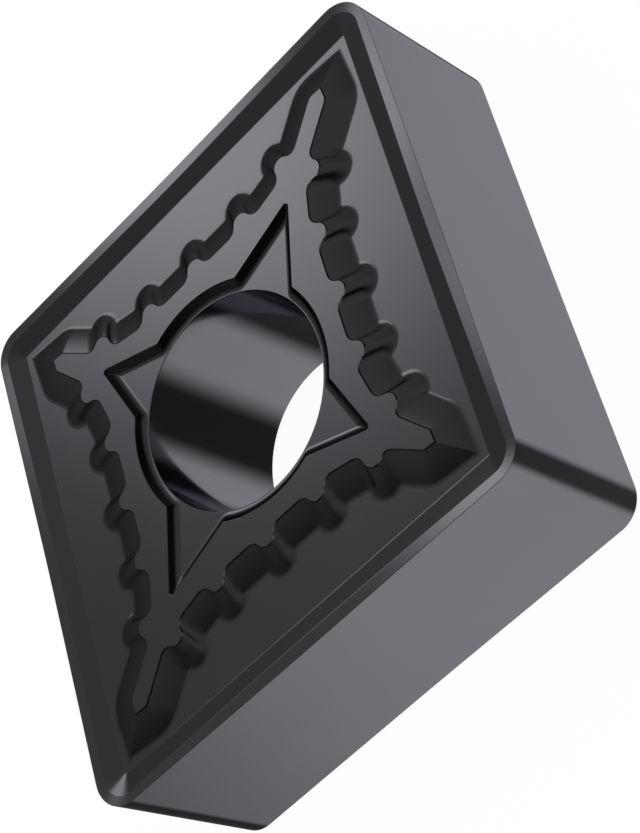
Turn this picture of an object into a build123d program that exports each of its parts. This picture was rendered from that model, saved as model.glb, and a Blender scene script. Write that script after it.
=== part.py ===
from build123d import *

import os
from math import cos, hypot, radians, sin, sqrt, tan

# A double-sided rhombic turning insert, pressed and sintered in one piece.
# Millimetres. The origin is on the hole axis, on the plane that the insert
# seats on. +Z is up, +Y runs along the long diagonal to an acute corner and
# +X along the short diagonal to an obtuse corner.
# Both faces carry the same chipbreaker, so all of it is built for the upper
# face and mirrored in the middle plane.

# Body, whose thickness is taken over both raised centres
thickness = 4.84
inscribed_circle_diameter = 12.7
acute_corner_angle = 80.0
nose_radius = 0.794
bore_diameter = 5.156
bore_edge_break = 0.03

# Cutting edge, which dips slightly towards the middle of each side
edge_drop_at_corner = 0.06
edge_drop_at_middle = 0.108
edge_dip_length = 3.2
hone_width = 0.02

# Narrow strip behind the cutting edge
strip_width_at_corner = 0.235
strip_width_at_middle = 0.305
strip_fall_at_corner = 0.028

# Land that falls from the strip to the groove floor
land_inner_inset = 0.75
land_corner_radius = 0.04
floor_depth = 0.24

# Wall between the groove floor and the raised centre
wall_slope = 17.7
wall_foot_radius = 0.4

# Ribs along each side, as seen on the raised centre's upper edge
rib_radius = 0.24
rib_foot_radius = 0.5
rib_hollow_radius = 0.30
foot_hollow_radius = 0.10
rib_pitch = 1.62
end_rib_pitch = 1.57
end_rib_step = 0.342
acute_end_rib_clearance = 0.203
obtuse_end_rib_clearance = 0.18
acute_end_rib_turn = 20.0
obtuse_end_rib_turn = 9.0

# Straight panels between the ribs, and the flat from them to the recess
flat_width = 0.52
panel_recess = 0.10
end_panel_recess = 0.19

# Pointed arm of the raised centre towards each acute corner
acute_arm_half_width = 0.237
acute_arm_setback = 2.539
acute_arm_hollow_radius = 0.25

# Pointed arm towards each obtuse corner
obtuse_arm_setback = 2.259
obtuse_arm_half_width = 0.213
obtuse_arm_taper = 8.1
obtuse_arm_corner_radius = 0.06
obtuse_arm_hollow_radius = 0.25
arm_point_half_angle = 45.0

# Star-shaped recess around the hole
recess_depth = 0.17
recess_ring_width = 0.292
recess_wall_slope = 45.0
recess_foot_radius = 0.10
recess_acute_reach = 4.72
recess_acute_half_angle = 24.4
recess_obtuse_reach = 4.28
recess_obtuse_half_angle = 29.9
recess_tip_radius = 0.09
recess_foot_tip_radius = 0.05
recess_shoulder_radius = 0.10

# Derived places
inradius = inscribed_circle_diameter / 2
bore_radius = bore_diameter / 2
side_angle = radians(acute_corner_angle / 2)
side_normal = (cos(side_angle), sin(side_angle))
side_along = (sin(side_angle), -cos(side_angle))
floor_height = thickness - floor_depth
recess_floor = thickness - recess_depth
recess_ring = bore_radius + recess_ring_width
margin = 0.5


# Plane geometry

def from_polar(angle, length=1.0):
    return (length * cos(angle), length * sin(angle))


def moved(point, direction, length):
    return (point[0] + direction[0] * length, point[1] + direction[1] * length)


def dot(a, b):
    return a[0] * b[0] + a[1] * b[1]


def along_side(distance, shift):
    """Point at a distance from the axis towards one side and a shift along it."""
    return moved(from_polar(side_angle, distance), side_along, shift)


def meet(normal_a, reach_a, normal_b, reach_b):
    """Crossing point of two lines, each given by its normal and its distance."""
    cross = normal_a[0] * normal_b[1] - normal_a[1] * normal_b[0]
    x = (reach_a * normal_b[1] - reach_b * normal_a[1]) / cross
    y = (normal_a[0] * reach_b - normal_b[0] * reach_a) / cross
    return (x, y)


def towards(a, b):
    length = hypot(b[0] - a[0], b[1] - a[1])
    return ((b[0] - a[0]) / length, (b[1] - a[1]) / length)


def arc(centre, radius, start, end):
    """Arc between two points of a circle, by its shorter way round."""
    middle = ((start[0] + end[0]) / 2, (start[1] + end[1]) / 2)
    return (start, moved(centre, towards(centre, middle), radius), end)


def hollow_centre(circle, radius, normal, reach, side):
    """Centre of a circle that touches another circle and a line from outside."""
    centre, circle_radius = circle
    offset = reach + radius - dot(normal, centre)
    along = (normal[1], -normal[0])
    step = sqrt((circle_radius + radius) ** 2 - offset ** 2)
    return moved(moved(centre, normal, offset), along, side * step)


def all_round(quarter):
    """Closed outline from the quarter that runs from +Y to +X."""
    back = [piece[::-1] for piece in reversed(quarter)]

    def flipped(pieces, x, y):
        return [tuple((x * p[0], y * p[1]) + p[2:] for p in piece) for piece in pieces]

    return quarter + flipped(back, 1, -1) + flipped(quarter, -1, -1) + flipped(back, -1, 1)


def closed_wire(outline, height):
    """Wire through pieces of two points for a line and three for an arc."""
    edges = []
    for piece in outline:
        points = [(p[0], p[1], height) for p in piece]
        if len(points) == 2:
            edges.append(Edge.make_line(*points))
        else:
            edges.append(Edge.make_three_point_arc(*points))
    return Wire(edges)


# Arms of the raised centre, as lines in the plane
point_normal = from_polar(radians(arm_point_half_angle))
acute_arm_reach = inradius / side_normal[1] - acute_arm_setback
obtuse_arm_reach = inradius / side_normal[0] - obtuse_arm_setback
across = (1.0, 0.0)
flank_normal = from_polar(radians(90 - obtuse_arm_taper))
flank_end = obtuse_arm_reach - obtuse_arm_half_width * point_normal[1] / point_normal[0]
flank_reach = dot(flank_normal, (flank_end, obtuse_arm_half_width))

# Rib centres along a side, from the acute to the obtuse end. The end ribs stand
# beside the arms, and the others share the space between them
rib_distance = recess_ring + flat_width + panel_recess
end_rib_distance = rib_distance + end_rib_step
acute_rib_line = acute_arm_half_width + acute_end_rib_clearance
obtuse_rib_line = flank_reach + obtuse_end_rib_clearance
acute_rib = meet(across, acute_rib_line, side_normal, end_rib_distance)
obtuse_rib = meet(flank_normal, obtuse_rib_line, side_normal, end_rib_distance)
row_start = dot(acute_rib, side_along) + end_rib_pitch
row_length = dot(obtuse_rib, side_along) - end_rib_pitch - row_start
gaps = max(1, round(row_length / rib_pitch))
row = [along_side(rib_distance, row_start + row_length * n / gaps) for n in range(gaps + 1)]
rib_centres = [acute_rib, *row, obtuse_rib]
rib_axes = [from_polar(side_angle)] * len(rib_centres)
rib_axes[0] = from_polar(side_angle - radians(acute_end_rib_turn))
rib_axes[-1] = from_polar(side_angle + radians(obtuse_end_rib_turn))


# Foot fillet that eases a straight slope into a flat floor

def foot_run(rise, radius, slope):
    """Distance that the wall has run back where it has risen by rise."""
    eased = radius * (1 - cos(slope))
    if rise < eased:
        return sqrt(2 * radius * rise - rise ** 2)
    return radius * sin(slope) + (rise - eased) / tan(slope)


# Scalloped raised centre

def raised_centre(rise):
    """Outline of the raised centre at a height above the groove floor."""
    slope = radians(wall_slope)
    full_run = foot_run(floor_depth, wall_foot_radius, slope)
    grown = full_run - foot_run(rise, wall_foot_radius, slope)
    near_foot = sqrt(max(0.0, 2 * wall_foot_radius * rise - rise ** 2))
    flare = max(0.0, rib_foot_radius - rib_radius - near_foot)
    radius = rib_radius + flare
    hollow = max(foot_hollow_radius, rib_hollow_radius - flare)

    # Ribs, whose noses lean out by the same run as the panels
    lean = grown - flare
    ribs = [(moved(foot, axis, lean), radius) for foot, axis in zip(rib_centres, rib_axes)]
    last_rib = len(ribs) - 1

    # Lines between the ribs
    lines = []
    for n in range(last_rib):
        along = towards(rib_centres[n], rib_centres[n + 1])
        normal = (-along[1], along[0])
        recess = end_panel_recess if n in (0, last_rib - 1) else panel_recess
        lines.append((normal, dot(normal, rib_centres[n]) - recess + grown))

    # Arm towards the acute corner
    tip = (0.0, acute_arm_reach + grown / point_normal[1])
    arm_centre = (0.0, acute_arm_reach - acute_arm_half_width / point_normal[1])
    arm_radius = acute_arm_half_width + grown
    arm_hollow = max(foot_hollow_radius, acute_arm_hollow_radius - flare)
    corner = moved(arm_centre, across, arm_radius)
    pieces = [(tip, moved(arm_centre, point_normal, arm_radius))]
    pieces.append(arc(arm_centre, arm_radius, pieces[-1][-1], corner))
    hollows = [(hollow_centre(ribs[0], arm_hollow, across, arm_radius, -1), arm_hollow)]
    pieces.append((corner, (arm_radius, hollows[0][0][1])))

    # Arm towards the obtuse corner
    nose = obtuse_arm_reach * point_normal[0]
    r = obtuse_arm_corner_radius
    nose_centre = meet(flank_normal, flank_reach - r, point_normal, nose - r)
    end_hollow = max(foot_hollow_radius, obtuse_arm_hollow_radius - flare)
    last = (hollow_centre(ribs[-1], end_hollow, flank_normal, flank_reach + grown, 1), end_hollow)

    # Walk along the ribs, a hollow, a rib, a hollow and a panel at a time
    for n, (centre, size) in enumerate(ribs):
        before, before_radius = hollows[-1]
        if n < last_rib:
            normal, reach = lines[n]
            after, after_radius = hollow_centre(ribs[n], hollow, normal, reach, 1), hollow
        else:
            normal = flank_normal
            after, after_radius = last
        entry = moved(centre, towards(centre, before), size)
        leave = moved(centre, towards(centre, after), size)
        foot = moved(after, normal, -after_radius)
        pieces.append(arc(before, before_radius, pieces[-1][-1], entry))
        pieces.append(arc(centre, size, entry, leave))
        pieces.append(arc(after, after_radius, leave, foot))
        if n < last_rib:
            ahead = hollow_centre(ribs[n + 1], hollow, normal, reach, -1)
            pieces.append((foot, moved(ahead, normal, -hollow)))
            hollows.append((ahead, hollow))

    shoulder = moved(nose_centre, flank_normal, r + grown)
    turn_end = moved(nose_centre, point_normal, r + grown)
    pieces.append((pieces[-1][-1], shoulder))
    pieces.append(arc(nose_centre, r + grown, shoulder, turn_end))
    pieces.append((turn_end, ((nose + grown) / point_normal[0], 0.0)))
    return all_round(pieces)


# Star-shaped recess

def star(inward):
    """Outline of the recess, drawn in from its upper edge by inward."""
    ring = recess_ring
    tip_radius = max(recess_foot_tip_radius, recess_tip_radius - inward)
    r = recess_shoulder_radius

    def arm(reach, half_angle):
        normal = (sin(half_angle), cos(half_angle))
        distance = reach * normal[0]
        step = distance + r
        out = sqrt((ring + r) ** 2 - step ** 2)
        shoulder = (normal[0] * step + normal[1] * out, normal[1] * step - normal[0] * out)
        tip = ((distance - inward - tip_radius) / normal[0], 0.0)
        flat = [moved(tip, normal, tip_radius), moved(shoulder, normal, -r - inward)]
        inner = moved((0.0, 0.0), towards((0.0, 0.0), shoulder), ring - inward)
        return tip, flat, shoulder, inner

    tip, flat, shoulder, inner = arm(recess_obtuse_reach, radians(recess_obtuse_half_angle))
    obtuse = [arc(shoulder, r + inward, inner, flat[1])]
    obtuse.append((flat[1], flat[0]))
    obtuse.append(arc(tip, tip_radius, flat[0], (tip[0] + tip_radius, 0.0)))
    ring_end = inner
    tip, flat, shoulder, inner = arm(recess_acute_reach, radians(recess_acute_half_angle))
    acute = [arc(shoulder, r + inward, inner, flat[1])]
    acute.append((flat[1], flat[0]))
    acute.append(arc(tip, tip_radius, flat[0], (tip[0] + tip_radius, 0.0)))
    acute = [tuple((p[1], p[0]) for p in piece[::-1]) for piece in reversed(acute)]
    pieces = acute + [arc((0.0, 0.0), ring - inward, acute[-1][-1], ring_end)] + obtuse
    return all_round(pieces)


# Rings around the rim

def rim(inset_at_corner, inset_at_middle, drop_at_corner, drop_at_middle):
    """Closed ring whose sides lie at one height at the corners and dip between."""
    radius = max(land_corner_radius, nose_radius - inset_at_corner)
    centre_distance = inradius - inset_at_corner - radius
    acute_nose = (0.0, centre_distance / side_normal[1])
    obtuse_nose = (centre_distance / side_normal[0], 0.0)
    high = thickness - drop_at_corner
    low = thickness - drop_at_middle
    start = moved(acute_nose, side_normal, radius)
    end = moved(obtuse_nose, side_normal, radius)
    middle = ((start[0] + end[0]) / 2, (start[1] + end[1]) / 2)
    middle = moved(middle, side_normal, inset_at_corner - inset_at_middle)
    share = edge_dip_length / hypot(end[0] - start[0], end[1] - start[1])

    def between(point, part):
        x = middle[0] + (point[0] - middle[0]) * part
        y = middle[1] + (point[1] - middle[1]) * part
        return (x, y, low + (high - low) * part)

    top = (0.0, acute_nose[1] + radius)
    right = (obtuse_nose[0] + radius, 0.0)
    quarter = [arc(acute_nose, radius, top, start)]
    quarter.append(((*start, high), between(start, share)))
    quarter.append((between(start, share), (*middle, low), between(end, share)))
    quarter.append((between(end, share), (*end, high)))
    quarter.append(arc(obtuse_nose, radius, end, right))
    edges = []
    for number, piece in enumerate(all_round(quarter)):
        kind = number % 5
        if kind in (0, 4):
            edges.append(Edge.make_three_point_arc(*[(p[0], p[1], high) for p in piece]))
        elif kind == 2:
            edges.append(Edge.make_bezier(*piece))
        else:
            edges.append(Edge.make_line(*piece))
    return Wire(edges)


def flat_rim(inset, height):
    drop = thickness - height
    return rim(inset, inset, drop, drop)


# Blank with straight sides and rounded noses
blank_end = edge_drop_at_corner / 2
blank_length = thickness - 2 * blank_end
blank = Solid.extrude(Face(flat_rim(0.0, blank_end)), Vector(0, 0, blank_length))

# Everything above the cutting edge, strip, land and groove floor
strip_drop_at_corner = edge_drop_at_corner + strip_fall_at_corner
outside = hone_width + margin
groove = Solid.make_loft(
    [
        flat_rim(land_inner_inset, floor_height),
        rim(strip_width_at_corner, strip_width_at_middle, strip_drop_at_corner, edge_drop_at_middle),
        rim(hone_width, hone_width, edge_drop_at_corner, edge_drop_at_middle),
        rim(-margin, -margin, edge_drop_at_corner + outside, edge_drop_at_middle + outside),
        flat_rim(-margin, thickness + margin),
    ],
    ruled=True,
)

# Raised centre, from the groove floor to its flat top
eased_rise = wall_foot_radius * (1 - cos(radians(wall_slope)))
rises = [0.0, eased_rise, floor_depth]
centre = Solid.make_loft(
    [closed_wire(raised_centre(rise), floor_height + rise) for rise in rises],
    ruled=True,
)

# Star-shaped recess in the flat top
recess_slope = radians(recess_wall_slope)
recess_run = foot_run(recess_depth, recess_foot_radius, recess_slope)
recess_eased = recess_foot_radius * (1 - cos(recess_slope))
over = 0.05
sections = []
for rise in (0.0, recess_eased, recess_depth + over):
    run = foot_run(rise, recess_foot_radius, recess_slope)
    sections.append(closed_wire(star(recess_run - run), recess_floor + rise))
recess = Solid.make_loft(sections, ruled=True)

# Hole with a small break at each end
hole = Cylinder(bore_radius, thickness)
hole = Pos(0, 0, thickness / 2) * hole
break_tool = Pos(0, 0, recess_floor) * Cone(
    bore_radius - margin + bore_edge_break,
    bore_radius + margin + bore_edge_break,
    2 * margin,
)

# Both faces
middle_plane = Plane.XY.offset(thickness / 2)


def on_both_faces(shape):
    return [shape, mirror(shape, about=middle_plane)]


insert = Part() + blank
insert -= on_both_faces(groove)
insert += on_both_faces(centre)
insert -= on_both_faces(recess)
insert -= hole
insert -= on_both_faces(break_tool)

os.makedirs("parts", exist_ok=True)
export_step(insert, "parts/insert.step")
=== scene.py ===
"""Looks of a double-sided carbide turning insert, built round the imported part.

The insert is one pressed, sintered and coated body. Its surface is worked out in
millimetres as closed rings that run round the hole's axis. Bands of quads join
rings of one family, and flat faces fill the plane between two families. The
underside is the upper side mirrored in the middle plane.
"""

import logging
import math
from dataclasses import dataclass, field
from enum import Enum

import bpy
import numpy as np
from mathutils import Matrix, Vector
from mathutils.geometry import delaunay_2d_cdt


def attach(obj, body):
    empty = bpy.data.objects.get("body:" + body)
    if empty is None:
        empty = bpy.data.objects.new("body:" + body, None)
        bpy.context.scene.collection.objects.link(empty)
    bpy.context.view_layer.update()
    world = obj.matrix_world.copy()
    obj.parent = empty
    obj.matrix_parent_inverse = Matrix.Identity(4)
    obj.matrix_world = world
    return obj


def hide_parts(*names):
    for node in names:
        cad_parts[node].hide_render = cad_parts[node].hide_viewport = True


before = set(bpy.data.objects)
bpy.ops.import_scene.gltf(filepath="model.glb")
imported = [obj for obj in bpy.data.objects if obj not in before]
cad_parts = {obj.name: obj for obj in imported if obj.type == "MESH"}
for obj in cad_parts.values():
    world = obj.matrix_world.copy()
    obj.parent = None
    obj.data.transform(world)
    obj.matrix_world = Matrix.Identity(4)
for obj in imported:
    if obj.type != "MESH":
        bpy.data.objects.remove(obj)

LOG = logging.getLogger("turning_insert")
METRES_PER_MM = 0.001
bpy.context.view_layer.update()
BODY = "root"
NODE = "insert"

# Angles, the plain colour and the middle of a noise's values
RIGHT_ANGLE = 90.0
HALF_TURN = 180.0
DEGREES_PER_RADIAN = HALF_TURN / math.pi
WHITE = (1.0, 1.0, 1.0, 1.0)
NOISE_MIDDLE = 0.5

# Heights and net points that are less than this many millimetres apart count as one
LEVEL_TOLERANCE = 1e-9
NET_TOLERANCE = 1e-7

# Points are merged where they agree to this many decimals of a millimetre
MERGE_DECIMALS = 6

# The kind of Delaunay net that keeps the triangles inside the given edges
INSIDE_EDGES = 1


# Plane geometry


class Spacing(Enum):
    """Fractions of a straight run at which its points lie."""

    HELD = (0.0, 0.02, 0.08, 0.5, 0.92, 0.98)
    DENSE = (0.0, 0.015, 0.05, 0.13, 0.22, 0.32, 0.42, 0.52, 0.62, 0.72, 0.82, 0.9, 0.96, 0.985)
    SLOPE = (0.03, 0.12, 0.35, 0.65, 0.9, 0.97)
    LIP = (0.15, 0.6)
    BETWEEN = (0.04, 0.15, 0.5, 0.85, 0.96)

    @property
    def column(self) -> np.ndarray:
        """The fractions as a column, which multiplies a row of x and y."""
        return np.array(self.value)[:, None]


def eased(steps: int) -> np.ndarray:
    """Fractions from 0 to 1 that lie closer together at both ends, half of 1 - cos."""
    return 0.5 - 0.5 * np.cos(np.linspace(0, math.pi, steps + 1))


def polar(angle: float | np.ndarray) -> np.ndarray:
    """Unit vectors at angles in radians, as an array whose last axis is x, y."""
    return np.stack([np.cos(angle), np.sin(angle)], axis=-1)


def straight(start: np.ndarray, end: np.ndarray, spacing: Spacing) -> np.ndarray:
    """Points of a straight run, without its end.

    Each point is the start plus a fraction of the way to the end.

    Args:
        start: First point, x and y.
        end: Last point, which the next piece gives.
        spacing: Fractions of the way at which the points lie.

    Returns:
        Points as rows of x and y.
    """
    return start + (end - start) * spacing.column


def bend(centre: np.ndarray, start: np.ndarray, end: np.ndarray, count: int) -> np.ndarray:
    """Points of a circular bend by its shorter way round, without its end.

    The radius and the angle both go evenly from the start's to the end's, seen
    from the centre.

    Args:
        centre: Centre of the circle.
        start: First point.
        end: Last point, which the next piece gives.
        count: Number of points.

    Returns:
        Points as rows of x and y.
    """
    first, last = start - centre, end - centre
    angle = math.atan2(first[1], first[0])
    turn = math.atan2(last[1], last[0]) - angle
    turn = (turn + math.pi) % (2 * math.pi) - math.pi
    part = np.arange(count) / count
    reach = np.hypot(*first) + (np.hypot(*last) - np.hypot(*first)) * part
    return centre + polar(angle + turn * part) * reach[:, None]


def towards(start: np.ndarray, end: np.ndarray) -> np.ndarray:
    """Unit vector from one point to another."""
    step = end - start
    return step / np.hypot(*step)


def touching(
    centre: np.ndarray, radius: float, hollow: float, normal: np.ndarray, reach: float, side: int
) -> np.ndarray:
    """Centre of a hollow that touches a circle and a line from outside.

    The centre lies one hollow radius beyond the line and the sum of both radii
    from the circle's centre, which leaves one place on each side.

    Args:
        centre: Centre of the circle.
        radius: Radius of the circle.
        hollow: Radius of the hollow.
        normal: Outward normal of the line.
        reach: Distance of the line from the origin.
        side: 1 or -1, the way along the line.

    Returns:
        Centre of the hollow.
    """
    offset = reach + hollow - float(np.dot(normal, centre))
    step = math.sqrt((radius + hollow) ** 2 - offset**2)
    return centre + normal * offset + np.array([normal[1], -normal[0]]) * side * step


def units(rows: np.ndarray) -> np.ndarray:
    """Rows of x and y scaled to length 1."""
    return rows / np.hypot(*rows.T)[:, None]


def all_round(quarter: np.ndarray, signs: tuple[int, int] = (-1, -1)) -> np.ndarray:
    """Rows of one quarter carried all round by mirroring in both axes.

    Args:
        quarter: Rows of two values from +Y to +X, both ends included.
        signs: Factors of the two values where they are mirrored.

    Returns:
        Rows of the whole round, without a repeated end.
    """
    back = quarter[::-1]
    parts = [quarter, back * (1, signs[1]), quarter * signs, back * (signs[0], 1)]
    return np.concatenate([part[:-1] for part in parts])


def at_height(outline: np.ndarray, height: float) -> np.ndarray:
    """Ring of points at one height from an outline in the plane."""
    return np.column_stack([outline, np.full(len(outline), height)])


@dataclass(frozen=True)
class EasedWall:
    """Cross-section of a wall: foot fillet, swelling slope, small lip and rounded top edge.

    Over the foot, run is R sin(a) and rise is R (1 - cos(a)), with a from zero to
    the slope plus the swell. The slope then stands out from its chord c nearly as
    an arc would that turns by b, twice the swell: at the fraction p of the way, by
    c tan(b / 4) times 2 p (1 - p). The lip is a short steeper line up to the full
    height, whose corner is rounded by the foot's formula, turned round.
    """

    height: float
    slope: float
    foot_radius: float
    edge_radius: float
    swell: float = 0.0
    lip: float = 0.0
    lip_slope: float = 0.0

    @property
    def full_run(self) -> float:
        """Run at which the lip's line, or else the slope, reaches the full height."""
        return self._corners()[-1][0]

    def points(self, foot_steps: int, edge_steps: int) -> np.ndarray:
        """Cross-section from the foot to the flat beyond the top edge.

        Args:
            foot_steps: Steps along the foot fillet.
            edge_steps: Steps along the rounded top edge.

        Returns:
            Points as rows of run and rise.
        """
        low, middle, corner = self._corners()
        first = math.radians(self.slope + self.swell)
        last = math.radians(self.slope - self.swell)
        top = math.radians(self.lip_slope) if self.lip else last
        fillet = self._unit_fillet(eased(foot_steps) * first) * self.foot_radius
        flat = (corner[0] + self.edge_radius * math.tan(top / 2), self.height)
        high = flat - self._unit_fillet(eased(edge_steps)[::-1] * top) * self.edge_radius
        end = middle if self.lip else high[0]
        part = Spacing.SLOPE.column
        across = polar(math.radians(self.slope + RIGHT_ANGLE))
        bulge = np.hypot(*(end - low)) * math.tan((first - last) / 4) * 2 * part * (1 - part)
        rows = [fillet, low + (end - low) * part + across * bulge]
        if self.lip:
            rows += [middle[None, :], middle + (high[0] - middle) * Spacing.LIP.column]
        return np.concatenate(rows + [high])

    def _corners(self) -> tuple[np.ndarray, np.ndarray, np.ndarray]:
        """Places where the cross-section changes direction.

        Returns:
            Run and rise at the fillet's end, at the lip's foot and at the top corner.
        """
        angle = math.radians(self.slope + self.swell)
        low = self._unit_fillet(angle) * self.foot_radius
        rise = self.height - self.lip - low[1]
        middle = low + (rise / math.tan(math.radians(self.slope)), rise)
        lip_run = self.lip / math.tan(math.radians(self.lip_slope)) if self.lip else 0.0
        return low, middle, middle + (lip_run, self.lip)

    @staticmethod
    def _unit_fillet(angle: float | np.ndarray) -> np.ndarray:
        """Run sin(a) and rise 1 - cos(a) of a fillet of radius 1, on the last axis."""
        return np.stack([np.sin(angle), 1 - np.cos(angle)], axis=-1)


# The body's parts, each a family of rings


@dataclass(frozen=True)
class Rhombus:
    """Plan form and heights of the insert: four straight sides with rounded noses."""

    inscribed_circle: float = 12.7
    acute_angle: float = 80.0
    nose_radius: float = 0.794
    thickness: float = 4.84
    floor_depth: float = 0.24

    @property
    def inradius(self) -> float:
        """Distance from the hole's axis to each side."""
        return self.inscribed_circle / 2

    @property
    def side_angle(self) -> float:
        """Direction of the +X +Y side's outward normal, in radians from +X."""
        return math.radians(self.acute_angle / 2)

    @property
    def floor_height(self) -> float:
        """Height of the groove floor on the upper side."""
        return self.thickness - self.floor_depth

    @property
    def normal(self) -> np.ndarray:
        """Outward normal of the +X +Y side."""
        return polar(self.side_angle)

    @property
    def along(self) -> np.ndarray:
        """Direction of the +X +Y side, from its acute to its obtuse end."""
        return np.array([self.normal[1], -self.normal[0]])

    def on_side(self, inset: float, shift: float) -> np.ndarray:
        """Point an inset inside the +X +Y side and a shift along it."""
        return self.normal * (self.inradius - inset) + self.along * shift


@dataclass(frozen=True)
class RaisedCentre:
    """Flat raised centre with the scalloped wall that breaks the chips."""

    rhombus: Rhombus
    wall_slope: float = 17.0
    wall_swell: float = 3.5
    foot_radius: float = 0.3
    flare_radius: float = 0.4
    lip: float = 0.022
    lip_slope: float = 50.0
    edge_radius: float = 0.012
    rib_radius: float = 0.24
    rib_foot_radius: float = 0.5
    hollow_radius: float = 0.30
    foot_hollow_radius: float = 0.04
    rib_shifts: tuple[float, ...] = (-3.882, -2.312, -0.712, 0.888, 2.458)
    rib_insets: tuple[float, ...] = (2.518, 2.86, 2.86, 2.86, 2.518)
    rib_turns: tuple[float, ...] = (-20.0, 0.0, 0.0, 0.0, 9.0)
    panel_recesses: tuple[float, ...] = (0.19, 0.10, 0.10, 0.19)
    arm_point_half_angle: float = 45.0
    acute_arm_reach: float = 7.34
    acute_arm_half_width: float = 0.237
    obtuse_arm_reach: float = 6.03
    obtuse_arm_half_width: float = 0.213
    obtuse_arm_taper: float = 8.1
    obtuse_arm_corner: float = 0.06
    arm_hollow_radius: float = 0.25
    hollow_steps: int = 8
    rib_steps: int = 18
    arm_steps: int = 10
    foot_steps: int = 9
    edge_steps: int = 5

    @property
    def wall(self) -> EasedWall:
        """Cross-section of the wall."""
        shape = (self.rhombus.floor_depth, self.wall_slope, self.foot_radius, self.edge_radius)
        return EasedWall(*shape, swell=self.wall_swell, lip=self.lip, lip_slope=self.lip_slope)

    @property
    def diagonal(self) -> np.ndarray:
        """Outward normal of the slanting lines that meet in an arm's point."""
        return polar(math.radians(self.arm_point_half_angle))

    def outline(self, grown: float, flare: float) -> np.ndarray:
        """Closed outline of the wall at one height.

        Ribs are circles that keep their radius down the slope and take up the
        flare at the foot, panels are lines moved out by grown, and hollows touch
        both.

        Args:
            grown: How far the wall stands outside its upper edge.
            flare: How much larger a rib's radius is than at the upper edge.

        Returns:
            Points as rows of x and y.
        """
        feet, ribs = self._ribs(grown - flare)
        radius = self.rib_radius + flare
        hollow = max(self.foot_hollow_radius, self.hollow_radius - flare)
        arm_hollow = max(self.foot_hollow_radius, self.arm_hollow_radius - flare)
        arm_side = self.acute_arm_half_width + grown
        before = touching(ribs[0], radius, arm_hollow, np.array([1.0, 0.0]), arm_side, -1)
        start = np.array([arm_side, before[1]])
        pieces = self._acute_arm(grown, start)

        # Hollow, rib and hollow once for each rib, with a panel after each but the last
        last = len(ribs) - 1
        for number, rib in enumerate(ribs):
            if number < last:
                step = towards(feet[number], feet[number + 1])
                normal = np.array([-step[1], step[0]])
                line = float(np.dot(normal, feet[number])) - self.panel_recesses[number] + grown
                after_radius = hollow
            else:
                normal, reach = self._obtuse_flank()
                line, after_radius = reach + grown, arm_hollow
            after = touching(rib, radius, after_radius, normal, line, 1)
            entry = rib + towards(rib, before) * radius
            leave = rib + towards(rib, after) * radius
            foot = after - normal * after_radius
            pieces.append(bend(before, start, entry, self.hollow_steps))
            pieces.append(bend(rib, entry, leave, self.rib_steps))
            pieces.append(bend(after, leave, foot, self.hollow_steps))
            if number < last:
                before = touching(ribs[number + 1], radius, hollow, normal, line, -1)
                start = before - normal * hollow
                pieces.append(straight(foot, start, Spacing.HELD))
        pieces += self._obtuse_arm(grown, foot)
        return all_round(np.concatenate(pieces))

    def _ribs(self, moved: float) -> tuple[list[np.ndarray], list[np.ndarray]]:
        """Centres of the ribs on the +X +Y side.

        Args:
            moved: How far the ribs have moved outwards along their axes.

        Returns:
            Centres at the wall's upper edge, and centres after the move.
        """
        plan = self.rhombus
        feet = [plan.on_side(inset, shift) for inset, shift in zip(self.rib_insets, self.rib_shifts)]
        axes = [polar(plan.side_angle + math.radians(turn)) for turn in self.rib_turns]
        return feet, [foot + axis * moved for foot, axis in zip(feet, axes)]

    def _acute_arm(self, grown: float, end: np.ndarray) -> list[np.ndarray]:
        """Half the arm towards the acute corner: point, round and straight side.

        The round's centre lies on the arm's axis, one radius inside both the
        slanting line and the straight side.

        Args:
            grown: How far the wall stands outside its upper edge.
            end: Where the first hollow starts.

        Returns:
            Pieces of the outline in order, without the end.
        """
        radius = self.acute_arm_half_width + grown
        centre = np.array([0.0, self.acute_arm_reach - self.acute_arm_half_width / self.diagonal[1]])
        tip = np.array([0.0, self.acute_arm_reach + grown / self.diagonal[1]])
        shoulder = centre + self.diagonal * radius
        side = centre + (radius, 0.0)
        return [
            straight(tip, shoulder, Spacing.HELD),
            bend(centre, shoulder, side, self.arm_steps),
            straight(side, end, Spacing.HELD),
        ]

    def _obtuse_flank(self) -> tuple[np.ndarray, float]:
        """Straight side of the obtuse arm at the wall's upper edge.

        Returns:
            Its outward normal and its distance from the hole's axis.
        """
        normal = polar(math.radians(RIGHT_ANGLE - self.obtuse_arm_taper))
        corner = (self.obtuse_arm_reach - self.obtuse_arm_half_width, self.obtuse_arm_half_width)
        return normal, float(np.dot(normal, corner))

    def _obtuse_arm(self, grown: float, start: np.ndarray) -> list[np.ndarray]:
        """Half the arm towards the obtuse corner: flank, round corner and point.

        The round's centre lies one radius inside both the flank and the slanting
        line.

        Args:
            grown: How far the wall stands outside its upper edge.
            start: Where the last hollow ends.

        Returns:
            Pieces of the outline in order, with the point.
        """
        flank, reach = self._obtuse_flank()
        nose = self.obtuse_arm_reach * self.diagonal[0]
        inner = np.array([reach - self.obtuse_arm_corner, nose - self.obtuse_arm_corner])
        centre = np.linalg.solve(np.array([flank, self.diagonal]), inner)
        radius = self.obtuse_arm_corner + grown
        shoulder = centre + flank * radius
        turn_end = centre + self.diagonal * radius
        point = np.array([(nose + grown) / self.diagonal[0], 0.0])
        return [
            straight(start, shoulder, Spacing.HELD),
            bend(centre, shoulder, turn_end, self.arm_steps),
            straight(turn_end, point, Spacing.HELD),
            point[None, :],
        ]

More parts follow.
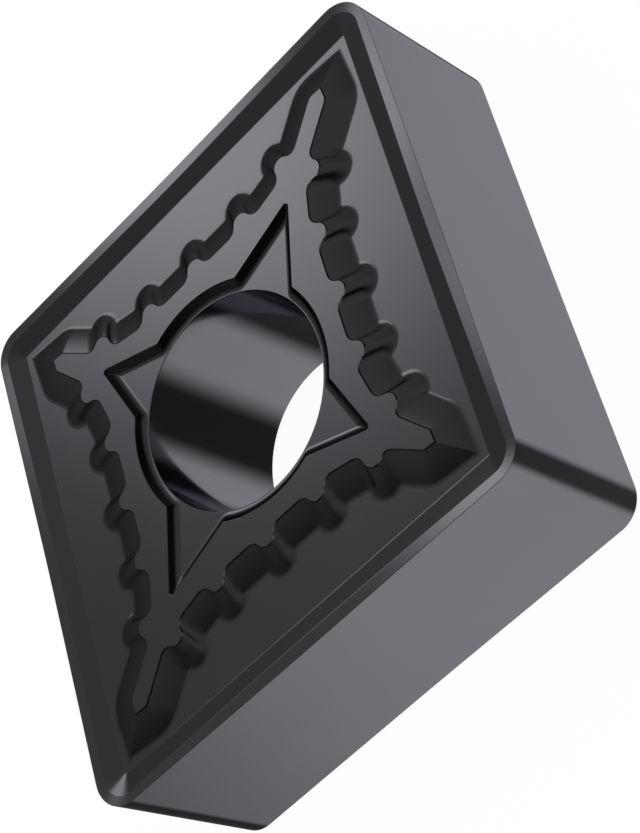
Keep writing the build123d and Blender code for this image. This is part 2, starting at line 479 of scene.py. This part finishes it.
    def rings(self) -> list[np.ndarray]:
        """Rings from the flat top out and down to the groove floor.

        A rib's flare is what is left of the difference of its two radii after
        the root of 2 R h less h squared, where R is the flare's radius and h the
        height above the floor.

        Returns:
            Rings as rows of x, y and z.
        """
        wall = self.wall
        rings = []
        for run, rise in wall.points(self.foot_steps, self.edge_steps)[::-1]:
            near_foot = math.sqrt(max(0.0, 2 * self.flare_radius * rise - rise**2))
            flare = max(0.0, self.rib_foot_radius - self.rib_radius - near_foot)
            outline = self.outline(wall.full_run - run, flare)
            rings.append(at_height(outline, self.rhombus.floor_height + rise))
        return rings


@dataclass(frozen=True)
class StarRecess:
    """Shallow four-pointed recess round the hole, with the hole itself.

    The bore ring depths are how far below the recess's floor extra rings run
    round the hole.
    """

    rhombus: Rhombus
    bore_radius: float = 2.578
    bore_edge: float = 0.012
    depth: float = 0.17
    ring_width: float = 0.292
    wall_slope: float = 45.0
    foot_radius: float = 0.24
    edge_radius: float = 0.022
    acute_reach: float = 4.72
    acute_half_angle: float = 24.4
    obtuse_reach: float = 4.28
    obtuse_half_angle: float = 29.9
    tip_radius: float = 0.09
    foot_tip_radius: float = 0.02
    shoulder_radius: float = 0.10
    bore_ring_depths: tuple[float, ...] = (0.2, 0.05)
    tip_steps: int = 8
    ring_steps: int = 30
    foot_steps: int = 7
    edge_steps: int = 5
    bore_edge_steps: int = 6

    def _arm(self, reach: float, half_angle: float, inward: float) -> tuple[np.ndarray, np.ndarray]:
        """Half an arm along +X.

        Two lines meet at the reach. The tip and the shoulder are bends that
        touch them, and the shoulder also touches the ring.

        Args:
            reach: Distance from the hole's axis to where the lines meet.
            half_angle: Angle of each line from the arm's axis, in degrees.
            inward: How far the outline lies inside its upper edge.

        Returns:
            Points from the ring's end to the tip, and the ring's end.
        """
        ring = self.bore_radius + self.ring_width
        angle = math.radians(half_angle)
        normal = np.array([math.sin(angle), math.cos(angle)])
        distance = reach * normal[0]
        step = distance + self.shoulder_radius
        out = math.sqrt((ring + self.shoulder_radius) ** 2 - step**2)
        shoulder = normal * step + np.array([normal[1], -normal[0]]) * out
        radius = max(self.foot_tip_radius, self.tip_radius - inward)
        tip = np.array([(distance - inward - radius) / normal[0], 0.0])
        ring_end = towards(np.zeros(2), shoulder) * (ring - inward)
        foot = shoulder - normal * (self.shoulder_radius + inward)
        side, end = tip + normal * radius, tip + (radius, 0.0)
        pieces = [
            bend(shoulder, ring_end, foot, self.tip_steps),
            straight(foot, side, Spacing.DENSE),
            bend(tip, side, end, self.tip_steps),
            end[None, :],
        ]
        return np.concatenate(pieces), ring_end

    def outline(self, inward: float) -> np.ndarray:
        """Closed outline of the recess at one height.

        Args:
            inward: How far the outline lies inside its upper edge.

        Returns:
            Points as rows of x and y.
        """
        obtuse, ring_end = self._arm(self.obtuse_reach, self.obtuse_half_angle, inward)
        acute, _ = self._arm(self.acute_reach, self.acute_half_angle, inward)
        # With x and y exchanged, the arm points along +Y, and it now starts at its tip
        acute = acute[::-1, ::-1]
        ring = bend(np.zeros(2), acute[-1], ring_end, self.ring_steps)
        return all_round(np.concatenate([acute[:-1], ring, obtuse]))

    def rings(self) -> list[np.ndarray]:
        """Rings from the hole's wall at the middle plane up to the flat top.

        The hole's points lie on the spokes through the innermost outline. Its edge
        adds e (1 - cos(t)) to the radius and rises by e sin(t), where e is the
        edge's radius and t goes from 0 to a right angle.

        Returns:
            Rings as rows of x, y and z.
        """
        top = self.rhombus.thickness
        floor = top - self.depth
        wall = EasedWall(self.depth, self.wall_slope, self.foot_radius, self.edge_radius)
        section = wall.points(self.foot_steps, self.edge_steps)
        outlines = [(self.outline(wall.full_run - run), floor + rise) for run, rise in section]
        spokes = units(outlines[0][0])
        turn = eased(self.bore_edge_steps) * math.pi / 2
        radii = self.bore_radius + self.bore_edge * (1 - np.cos(turn))
        heights = floor - self.bore_edge + self.bore_edge * np.sin(turn)
        straight_heights = [top / 2] + [floor - depth for depth in self.bore_ring_depths]
        rings = [at_height(spokes * self.bore_radius, height) for height in straight_heights]
        rings += [at_height(spokes * radius, height) for radius, height in zip(radii, heights)]
        rings += [at_height(outline, height) for outline, height in outlines]
        return rings


@dataclass(frozen=True)
class Rim:
    """Cutting edge, the strip behind it, the land and the square sides.

    The side hold is the fraction of a side at which an extra station stands near
    each of its ends. The side ring drops are how far below the edge's rounding
    extra rings run round the sides.
    """

    rhombus: Rhombus
    land_inset: float = 0.75
    strip_at_corner: float = 0.235
    strip_at_middle: float = 0.305
    edge_drop_at_corner: float = 0.06
    edge_drop_at_middle: float = 0.108
    strip_fall_at_corner: float = 0.028
    dip_rounding: float = 0.9
    land_foot_radius: float = 0.09
    strip_radius: float = 0.06
    hone_radius: float = 0.008
    floor_reach: float = 0.03
    side_hold: float = 0.0006
    side_ring_drops: tuple[float, ...] = (0.05, 0.3)
    nose_steps: int = 16
    side_steps: int = 40
    arc_steps: int = 6

    def stations(self) -> tuple[np.ndarray, np.ndarray, np.ndarray]:
        """Points on the cutting edge, outward normals, and the share of the rise.

        The share is 0 at the middle of a side and 1 at its ends and round the
        noses. Between them it is a hyperbola: the root of u squared plus w
        squared, less w, over the same at the side's end, where u is the way from
        the middle and w the dip's rounding.

        Returns:
            Points and normals as rows of x and y, and the shares.
        """
        plan = self.rhombus
        centre_distance = plan.inradius - plan.nose_radius
        acute = np.array([0.0, centre_distance / plan.normal[1]])
        obtuse = np.array([centre_distance / plan.normal[0], 0.0])
        turn = np.arange(self.nose_steps + 1) / self.nose_steps
        first = polar(math.pi / 2 + (plan.side_angle - math.pi / 2) * turn[:-1])
        last = polar(plan.side_angle * (1 - turn))
        start = acute + plan.normal * plan.nose_radius
        end = obtuse + plan.normal * plan.nose_radius
        part = np.append(eased(self.side_steps)[:-1], [self.side_hold, 1 - self.side_hold])
        part = np.sort(part)
        side = start + (end - start) * part[:, None]
        points = [acute + first * plan.nose_radius, side, obtuse + last * plan.nose_radius]
        normals = [first, np.tile(plan.normal, (len(side), 1)), last]
        half = np.hypot(*(end - start)) / 2
        away = np.abs(part - 0.5) * 2 * half
        rounding = self.dip_rounding
        share = (np.hypot(away, rounding) - rounding) / (math.hypot(half, rounding) - rounding)
        shares = np.concatenate([np.ones(len(first)), share, np.ones(len(last))])
        doubled = np.stack([shares, shares], axis=1)
        around = all_round(np.concatenate(normals))
        return all_round(np.concatenate(points)), around, all_round(doubled, (1, 1))[:, 0]

    def _corners(self, share: np.ndarray) -> list[np.ndarray]:
        """Corners of the cross-section, from the groove floor to the middle plane.

        The first corner only gives the direction of the floor.

        Args:
            share: Share of the rise at every station.

        Returns:
            For each corner, rows of inset and height at every station.
        """
        plan = self.rhombus
        flat = np.ones_like(share)
        drop = np.interp(share, (0, 1), (self.edge_drop_at_middle, self.edge_drop_at_corner))
        strip = np.interp(share, (0, 1), (self.strip_at_middle, self.strip_at_corner))
        edge = plan.thickness - drop
        return [
            np.column_stack([flat * (self.land_inset + self.floor_reach), flat * plan.floor_height]),
            np.column_stack([flat * self.land_inset, flat * plan.floor_height]),
            np.column_stack([strip, edge - self.strip_fall_at_corner * share]),
            np.column_stack([flat * 0, edge]),
            np.column_stack([flat * 0, flat * plan.thickness / 2]),
        ]

    def rings(self) -> list[np.ndarray]:
        """Rings from the groove floor out to the middle of the square sides.

        A ring's point is the cutting edge's point less the normal times the inset,
        at the height that goes with that inset.

        Returns:
            Rings as rows of x, y and z.
        """
        points, normals, share = self.stations()
        corners = self._corners(share)
        radii = (self.land_foot_radius, self.strip_radius, self.hone_radius)
        section = []
        for radius, *bent in zip(radii, corners, corners[1:], corners[2:]):
            arc = rounded(*bent, radius, self.arc_steps)
            if section:
                section += held_between(section[-1], arc[0])
            section += arc
        section += [arc[-1] - (0.0, drop) for drop in self.side_ring_drops]
        section.append(corners[-1])
        return [np.column_stack([points - normals * row[:, :1], row[:, 1]]) for row in section]


def rounded(
    before: np.ndarray, corner: np.ndarray, after: np.ndarray, radius: float, steps: int
) -> list[np.ndarray]:
    """Rounds one corner of a cross-section at every station at once.

    The arc touches both arms. Its points are the centre plus the radius times a
    direction that turns from one touching point to the other.

    Args:
        before: Rows of inset and height on the arm before the corner.
        corner: Rows of inset and height at the corner.
        after: Rows of inset and height on the arm after the corner.
        radius: Radius of the arc.
        steps: Number of steps along the arc.

    Returns:
        One array of rows for each point of the arc.
    """
    one, two = units(before - corner), units(after - corner)
    half = np.arccos(np.clip((one * two).sum(axis=1), -1, 1)) / 2
    centre = corner + units(one + two) * (radius / np.sin(half))[:, None]
    tangent = (radius / np.tan(half))[:, None]
    first = (corner + one * tangent - centre) / radius
    last = (corner + two * tangent - centre) / radius
    whole = (math.pi - 2 * half)[:, None]
    arc = []
    for part in eased(steps):
        direction = (np.sin((1 - part) * whole) * first + np.sin(part * whole) * last) / np.sin(whole)
        arc.append(centre + direction * radius)
    return arc


def held_between(start: np.ndarray, end: np.ndarray) -> list[np.ndarray]:
    """Rows between two rings of a straight slope, close to both ends."""
    return [start + (end - start) * part for part in Spacing.BETWEEN.value]


class Shading(Enum):
    """Whether a face takes its own normal or a smooth one."""

    FLAT = False
    SMOOTH = True


@dataclass
class Skin:
    """Collects the rings, bands and flat faces of half the insert."""

    points: list[np.ndarray] = field(default_factory=list)
    faces: list[np.ndarray] = field(default_factory=list)
    smooth: list[np.ndarray] = field(default_factory=list)
    count: int = 0

    def ring(self, points: np.ndarray) -> np.ndarray:
        """Adds a ring of points.

        Args:
            points: Rows of x, y and z.

        Returns:
            The points' numbers.
        """
        numbers = np.arange(len(points)) + self.count
        self.points.append(points)
        self.count += len(points)
        return numbers

    def band(self, inner: np.ndarray, outer: np.ndarray, shading: Shading) -> None:
        """Joins two rings of one family with quads, each held as two triangles.

        Args:
            inner: Numbers of the inner ring's points.
            outer: Numbers of the outer ring's points, just as many.
            shading: Shading of the faces.
        """
        next_inner, next_outer = np.roll(inner, -1), np.roll(outer, -1)
        self.add(np.stack([inner, outer, next_outer], axis=1), shading)
        self.add(np.stack([inner, next_outer, next_inner], axis=1), shading)

    def fill(self, inner: np.ndarray, outer: np.ndarray) -> None:
        """Fills the plane between two rings with flat triangles.

        The triangles are a constrained Delaunay net of both rings. Only those
        whose centre lies between the rings are kept.

        Args:
            inner: Numbers of the inner ring's points.
            outer: Numbers of the outer ring's points.
        """
        numbers = np.concatenate([inner, outer])
        plan = np.concatenate(self.points)[numbers][:, :2]
        size = len(inner)
        starts = np.arange(len(numbers))
        ends = np.concatenate([np.roll(starts[:size], -1), np.roll(starts[size:], -1)])
        edges = np.stack([starts, ends], axis=1).tolist()
        places = [Vector(point) for point in plan.tolist()]
        made, _, net, origins, *_ = delaunay_2d_cdt(places, edges, [], INSIDE_EDGES, NET_TOLERANCE)
        net = np.array([list(face) for face in net])
        centres = np.array([tuple(point) for point in made])[net].mean(axis=1)
        kept = ~inside(centres, plan[:size]) & inside(centres, plan[size:])
        origin = np.array([group[0] for group in origins])
        self.add(numbers[origin[net[kept]]], Shading.FLAT)

    def add(self, triangles: np.ndarray, shading: Shading) -> None:
        """Adds triangles with one shading."""
        self.faces.append(triangles)
        self.smooth.append(np.full(len(triangles), shading.value))

    def whole(self, height: float) -> tuple[np.ndarray, np.ndarray, np.ndarray]:
        """Both halves as one surface that faces outwards.

        The lower half has z turned to the height less z and its triangles turned
        round. Points that fall together on the middle plane are merged, and the
        whole is turned if its volume comes out negative.

        Args:
            height: Height of the whole.

        Returns:
            Points, triangles and smooth flags.
        """
        upper = np.concatenate(self.points)
        points = np.concatenate([upper, upper * (1, 1, -1) + (0, 0, height)])
        faces = np.concatenate(self.faces)
        faces = np.concatenate([faces, faces[:, ::-1] + len(upper)])
        smooth = np.tile(np.concatenate(self.smooth), 2)
        keys = np.round(points, MERGE_DECIMALS)
        _, first, inverse = np.unique(keys, axis=0, return_index=True, return_inverse=True)
        points, faces = points[first], inverse.reshape(-1)[faces]
        real = (faces != np.roll(faces, -1, axis=1)).all(axis=1)
        faces, smooth = faces[real], smooth[real]
        one, two, three = (points[faces[:, corner]] for corner in range(3))
        if (np.cross(one, two) * three).sum() < 0:
            faces = faces[:, ::-1]
        return points, faces, smooth


def inside(points: np.ndarray, outline: np.ndarray) -> np.ndarray:
    """Which points lie inside a closed outline, by counting crossings to the right.

    Args:
        points: Rows of x and y.
        outline: Rows of x and y round the outline.

    Returns:
        One flag for each point.
    """
    x, y = points[:, :1], points[:, 1:]
    start_x, start_y = outline.T
    end_x, end_y = np.roll(outline, -1, axis=0).T
    spans = (start_y > y) != (end_y > y)
    rise = np.where(end_y == start_y, 1.0, end_y - start_y)
    crossing = start_x + (end_x - start_x) * (y - start_y) / rise
    return ((spans & (x < crossing)).sum(axis=1) % 2).astype(bool)


# Node graphs


class Signal:
    """A number in a node tree. Arithmetic on it adds Math nodes."""

    def __init__(self, graph: "Graph", socket: bpy.types.NodeSocket) -> None:
        """Wraps an output socket of a graph."""
        self.graph = graph
        self.socket = socket

    def __add__(self, other: "Signal | float") -> "Signal":
        """Sum."""
        return self.graph.math("ADD", self, other)

    def __radd__(self, other: float) -> "Signal":
        """Sum, reflected."""
        return self.graph.math("ADD", other, self)

    def __sub__(self, other: "Signal | float") -> "Signal":
        """Difference."""
        return self.graph.math("SUBTRACT", self, other)

    def __rsub__(self, other: float) -> "Signal":
        """Difference, reflected."""
        return self.graph.math("SUBTRACT", other, self)

    def __mul__(self, other: "Signal | float") -> "Signal":
        """Product."""
        return self.graph.math("MULTIPLY", self, other)

    def __rmul__(self, other: float) -> "Signal":
        """Product, reflected."""
        return self.graph.math("MULTIPLY", other, self)

    def step(self, start: float, end: float) -> "Signal":
        """Smooth step from 0 to 1.

        Args:
            start: Value up to which the step stays 0.
            end: Value from which it stays 1, which may be the lower of the two.

        Returns:
            The step.
        """
        settings = {"interpolation_type": "SMOOTHSTEP"}
        inputs = {"Value": self, "From Min": start, "From Max": end, "To Min": 0.0, "To Max": 1.0}
        return self.graph.value("ShaderNodeMapRange", settings, inputs)


class Graph:
    """Adds nodes to a node tree."""

    def __init__(self, tree: bpy.types.NodeTree) -> None:
        """Starts from an emptied tree."""
        self.tree = tree
        tree.nodes.clear()

    def node(self, kind: str, settings: dict | None = None, inputs: dict | None = None) -> bpy.types.Node:
        """Adds one node.

        Args:
            kind: Blender's name of the node's type.
            settings: Attributes of the node, set before its sockets.
            inputs: Values or links by socket name or number.

        Returns:
            The node.
        """
        node = self.tree.nodes.new(kind)
        for name, value in (settings or {}).items():
            setattr(node, name, value)
        for name, value in (inputs or {}).items():
            socket = node.inputs[name]
            if isinstance(value, Signal):
                value = value.socket
            if isinstance(value, bpy.types.NodeSocket):
                self.tree.links.new(value, socket)
            else:
                socket.default_value = value
        return node

    def value(
        self, kind: str, settings: dict | None = None, inputs: dict | None = None, output: str | int = 0
    ) -> Signal:
        """Adds one node and wraps one of its outputs."""
        return Signal(self, self.node(kind, settings, inputs).outputs[output])

    def math(self, operation: str, *values: "Signal | float") -> Signal:
        """Adds a Math node."""
        return self.value("ShaderNodeMath", {"operation": operation}, dict(enumerate(values)))


# Finishes


@dataclass(frozen=True)
class CoatedCarbide:
    """Thin dark vapour-deposited coating on fine-grained carbide.

    The coating reflects like a dark metal, whose reflection goes towards the
    grazing colour at low angles. Its grain is a fine bump. A slow noise shifts
    its tone and gloss, each by twice its shift times the noise less its middle.
    """

    colour: tuple[float, float, float] = (0.178, 0.169, 0.1865)
    grazing: tuple[float, float, float] = (0.69, 0.68, 0.717)
    roughness: float = 0.11
    gloss_shift: float = 0.012
    tone_shift: float = 0.04
    grain_size: float = 0.03
    grain_height: float = 0.00004
    grain_detail: float = 1.0
    cloud_size: float = 2.5
    cloud_detail: float = 2.0

    def material(self) -> bpy.types.Material:
        """Builds the material.

        Returns:
            The material, which takes its noise from object coordinates.
        """
        material = bpy.data.materials.new("coated_carbide_finish")
        material.use_nodes = True
        graph = Graph(material.node_tree)
        place = graph.node("ShaderNodeTexCoord").outputs["Object"]
        cloud = self._noise(graph, place, self.cloud_size, self.cloud_detail)
        grain = self._noise(graph, place, self.grain_size, self.grain_detail)
        drift = cloud - NOISE_MIDDLE
        tone = 1 + drift * (2 * self.tone_shift)
        colour = graph.node(
            "ShaderNodeVectorMath", {"operation": "SCALE"}, {0: self.colour, "Scale": tone}
        )
        bump = graph.node(
            "ShaderNodeBump",
            inputs={"Height": grain, "Distance": self.grain_height * METRES_PER_MM, "Strength": 1.0},
        )
        shader = graph.node(
            "ShaderNodeBsdfPrincipled",
            inputs={
                "Base Color": colour.outputs[0],
                "Metallic": 1.0,
                "Roughness": self.roughness + drift * (2 * self.gloss_shift),
                "Specular Tint": (*self.grazing, 1.0),
                "Normal": bump.outputs[0],
            },
        )
        graph.node("ShaderNodeOutputMaterial", inputs={"Surface": shader.outputs[0]})
        return material

    @staticmethod
    def _noise(graph: Graph, place: bpy.types.NodeSocket, size: float, detail: float) -> Signal:
        """Noise whose lumps have a size in millimetres."""
        inputs = {"Vector": place, "Scale": 1 / (size * METRES_PER_MM), "Detail": detail}
        return graph.value("ShaderNodeTexNoise", inputs=inputs)


# Sub-assemblies


@dataclass
class TurningInsert:
    """The whole insert, one body."""

    rhombus: Rhombus = field(default_factory=Rhombus)
    finish: CoatedCarbide = field(default_factory=CoatedCarbide)

    def mesh(self) -> bpy.types.Mesh:
        """Builds the body's mesh from its rings.

        In the recess, bands that lie level are flat. All other bands are smooth.

        Returns:
            The mesh, in metres.
        """
        skin = Skin()
        recess = [skin.ring(ring) for ring in StarRecess(self.rhombus).rings()]
        centre = [skin.ring(ring) for ring in RaisedCentre(self.rhombus).rings()]
        rim = [skin.ring(ring) for ring in Rim(self.rhombus).rings()]
        heights = np.concatenate(skin.points)[:, 2]
        for inner, outer in zip(recess, recess[1:]):
            level = np.ptp(heights[np.concatenate([inner, outer])]) < LEVEL_TOLERANCE
            skin.band(inner, outer, Shading.FLAT if level else Shading.SMOOTH)
        for family in (centre, rim):
            for inner, outer in zip(family, family[1:]):
                skin.band(inner, outer, Shading.SMOOTH)
        skin.fill(recess[-1], centre[0])
        skin.fill(centre[-1], rim[0])
        points, faces, smooth = skin.whole(self.rhombus.thickness)
        mesh = bpy.data.meshes.new("insert_body")
        mesh.from_pydata((points * METRES_PER_MM).tolist(), [], faces.tolist())
        mesh.polygons.foreach_set("use_smooth", smooth)
        mesh.validate()
        mesh.update()
        return mesh

    def build(self) -> None:
        """Makes the finished body, which stands for the CAD node."""
        mesh = self.mesh()
        mesh.materials.append(self.finish.material())
        body = bpy.data.objects.new("insert_body", mesh)
        bpy.context.scene.collection.objects.link(body)
        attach(body, BODY)
        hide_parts(NODE)
        LOG.info("%s: %d points, %d faces", body.name, len(mesh.vertices), len(mesh.polygons))


@dataclass(frozen=True)
class Patch:
    """A soft-edged patch of the surroundings, by its direction and half size in degrees."""

    azimuth: float
    elevation: float
    half_width: float
    half_height: float
    softness: float
    strength: float
    lean: float = 0.0

    def mask(self, azimuth: Signal, elevation: Signal) -> Signal:
        """Strength inside the patch, fading to nothing over the softness at its edges.

        It is the strength times a smooth step across times a smooth step up. The
        lean is how far the patch moves in azimuth for each degree of elevation.

        Args:
            azimuth: Azimuth of a direction, in degrees.
            elevation: Elevation of the direction, in degrees.

        Returns:
            The strength in that direction.
        """
        graph = azimuth.graph
        rise = elevation - self.elevation
        turn = graph.math("WRAP", azimuth - self.azimuth - rise * self.lean, HALF_TURN, -HALF_TURN)
        across = graph.math("ABSOLUTE", turn)
        across = across.step(self.half_width + self.softness, self.half_width - self.softness)
        up = graph.math("ABSOLUTE", rise)
        up = up.step(self.half_height + self.softness, self.half_height - self.softness)
        return across * up * self.strength


@dataclass(frozen=True)
class Glow:
    """A wide round fill light, by its direction and reach in degrees."""

    azimuth: float
    elevation: float
    reach: float
    strength: float

    def mask(self, x: Signal, y: Signal, z: Signal) -> Signal:
        """Strength that fades with the angle from the middle, to nothing at the reach.

        The angle's cosine is the dot product of the direction and the middle.

        Args:
            x: First part of a unit direction.
            y: Second part.
            z: Third part.

        Returns:
            The strength in that direction.
        """
        across, up = math.radians(self.azimuth), math.radians(self.elevation)
        middle = (math.cos(across) * math.cos(up), math.sin(across) * math.cos(up), math.sin(up))
        near = x * middle[0] + y * middle[1] + z * middle[2]
        angle = near.graph.math("ARCCOSINE", near) * DEGREES_PER_RADIAN
        return angle.step(self.reach, 0.0) * self.strength


@dataclass
class Studio:
    """White surroundings and floor, with the lights and dark cards that the metal mirrors.

    The walls are low soft lights that the sides mirror when they are seen from
    other angles.
    """

    horizon: float = -36.0
    horizon_softness: float = 12.0
    fills: tuple[Glow, ...] = (
        Glow(205.5, -40.0, 154.7, 0.091),
        Glow(158.2, 49.7, 56.2, 0.193),
        Glow(58.6, 69.2, 34.7, 0.14),
    )
    boxes: tuple[Patch, ...] = (
        Patch(159.4, 38.0, 12.8, 10.4, 5.8, 0.88, -0.17),
        Patch(168.1, 42.6, 8.2, 4.6, 4.6, 0.284),
        Patch(38.0, -62.0, 34.0, 10.0, 7.0, 0.1),
    )
    walls: tuple[Patch, ...] = (
        Patch(0.0, 2.0, 48.0, 20.0, 10.0, 0.7),
        Patch(102.0, -22.0, 48.0, 12.0, 8.0, 0.8),
        Patch(-105.0, -22.0, 40.0, 12.0, 8.0, 0.8),
    )
    cards: tuple[Patch, ...] = (
        Patch(32.2, -55.0, 37.7, 60.0, 16.0, 0.98, -0.3),
        Patch(191.1, -55.0, 73.4, 60.0, 15.4, 0.99, 0.9),
    )
    floor_half_size: float = 400.0
    floor_gap: float = 0.001
    floor_glow: float = 0.96

    def light(self) -> None:
        """Sets the world: plain white, but for what glossy rays see.

        They see a white w below the horizon, less the cards. With the fills' sum
        f it becomes f + w (1 - f), and the boxes and walls are added to that.
        """
        world = bpy.data.worlds.new("studio")
        world.use_nodes = True
        bpy.context.scene.world = world
        graph = Graph(world.node_tree)
        direction = graph.node("ShaderNodeTexCoord").outputs["Generated"]
        parts = graph.node("ShaderNodeSeparateXYZ", inputs={0: direction})
        x, y, z = (Signal(graph, socket) for socket in parts.outputs)
        azimuth = graph.math("ARCTAN2", y, x) * DEGREES_PER_RADIAN
        elevation = graph.math("ARCSINE", z) * DEGREES_PER_RADIAN
        softness = self.horizon_softness
        white = elevation.step(self.horizon + softness, self.horizon - softness)
        for card in self.cards:
            white = white * (1 - card.mask(azimuth, elevation))
        mirrored = sum(fill.mask(x, y, z) for fill in self.fills)
        mirrored = mirrored + white * (1 - mirrored)
        for box in self.boxes + self.walls:
            mirrored = mirrored + box.mask(azimuth, elevation)
        glossy = graph.value("ShaderNodeLightPath", output="Is Glossy Ray")
        level = 1 + glossy * (mirrored - 1)
        shader = graph.node("ShaderNodeBackground", inputs={"Color": WHITE, "Strength": level})
        graph.node("ShaderNodeOutputWorld", inputs={"Surface": shader.outputs[0]})

    def floor(self) -> None:
        """Makes the plain white floor.

        The glow's share of what the camera sees is even white. The rest is lit
        white, which takes a light shadow.
        """
        half = self.floor_half_size * METRES_PER_MM
        corners = np.array([[-1, -1, 0], [1, -1, 0], [1, 1, 0], [-1, 1, 0]]) * half
        mesh = bpy.data.meshes.new("studio_floor")
        corners -= (0, 0, self.floor_gap * METRES_PER_MM)
        mesh.from_pydata(corners.tolist(), [], [(0, 1, 2, 3)])
        material = bpy.data.materials.new("white_floor")
        material.use_nodes = True
        graph = Graph(material.node_tree)
        camera = graph.value("ShaderNodeLightPath", output="Is Camera Ray")
        diffuse = graph.node("ShaderNodeBsdfDiffuse", inputs={"Color": WHITE})
        glow = graph.node("ShaderNodeEmission", inputs={"Color": WHITE, "Strength": 1.0})
        shaders = {0: camera * self.floor_glow, 1: diffuse.outputs[0], 2: glow.outputs[0]}
        mix = graph.node("ShaderNodeMixShader", inputs=shaders)
        graph.node("ShaderNodeOutputMaterial", inputs={"Surface": mix.outputs[0]})
        mesh.materials.append(material)
        floor = bpy.data.objects.new("studio_floor", mesh)
        floor.visible_glossy = False
        bpy.context.scene.collection.objects.link(floor)


@dataclass(frozen=True)
class ProductCamera:
    """Camera at the photograph's angle, in millimetres and degrees."""

    place: tuple[float, float, float] = (35.0843, -4.1257, 40.9427)
    rotation: tuple[float, float, float] = (17.7959, 39.7134, 21.4061)
    lens: float = 97.2141
    shift: tuple[float, float] = (0.0616, 0.0462)
    clip: tuple[float, float] = (1.0, 10000.0)

    def build(self) -> None:
        """Makes the camera and sets it as the scene's."""
        data = bpy.data.cameras.new("product_camera")
        data.lens = self.lens
        data.shift_x, data.shift_y = self.shift
        data.clip_start, data.clip_end = (value * METRES_PER_MM for value in self.clip)
        camera = bpy.data.objects.new("product_camera", data)
        camera.location = [value * METRES_PER_MM for value in self.place]
        camera.rotation_euler = [math.radians(value) for value in self.rotation]
        bpy.context.scene.collection.objects.link(camera)
        bpy.context.scene.camera = camera


def main() -> None:
    """Builds the camera, the studio and the insert."""
    logging.basicConfig(level=logging.INFO)
    bpy.context.scene.view_settings.view_transform = "Standard"
    ProductCamera().build()
    studio = Studio()
    studio.light()
    studio.floor()
    TurningInsert().build()


if __name__ == "__main__":
    main()
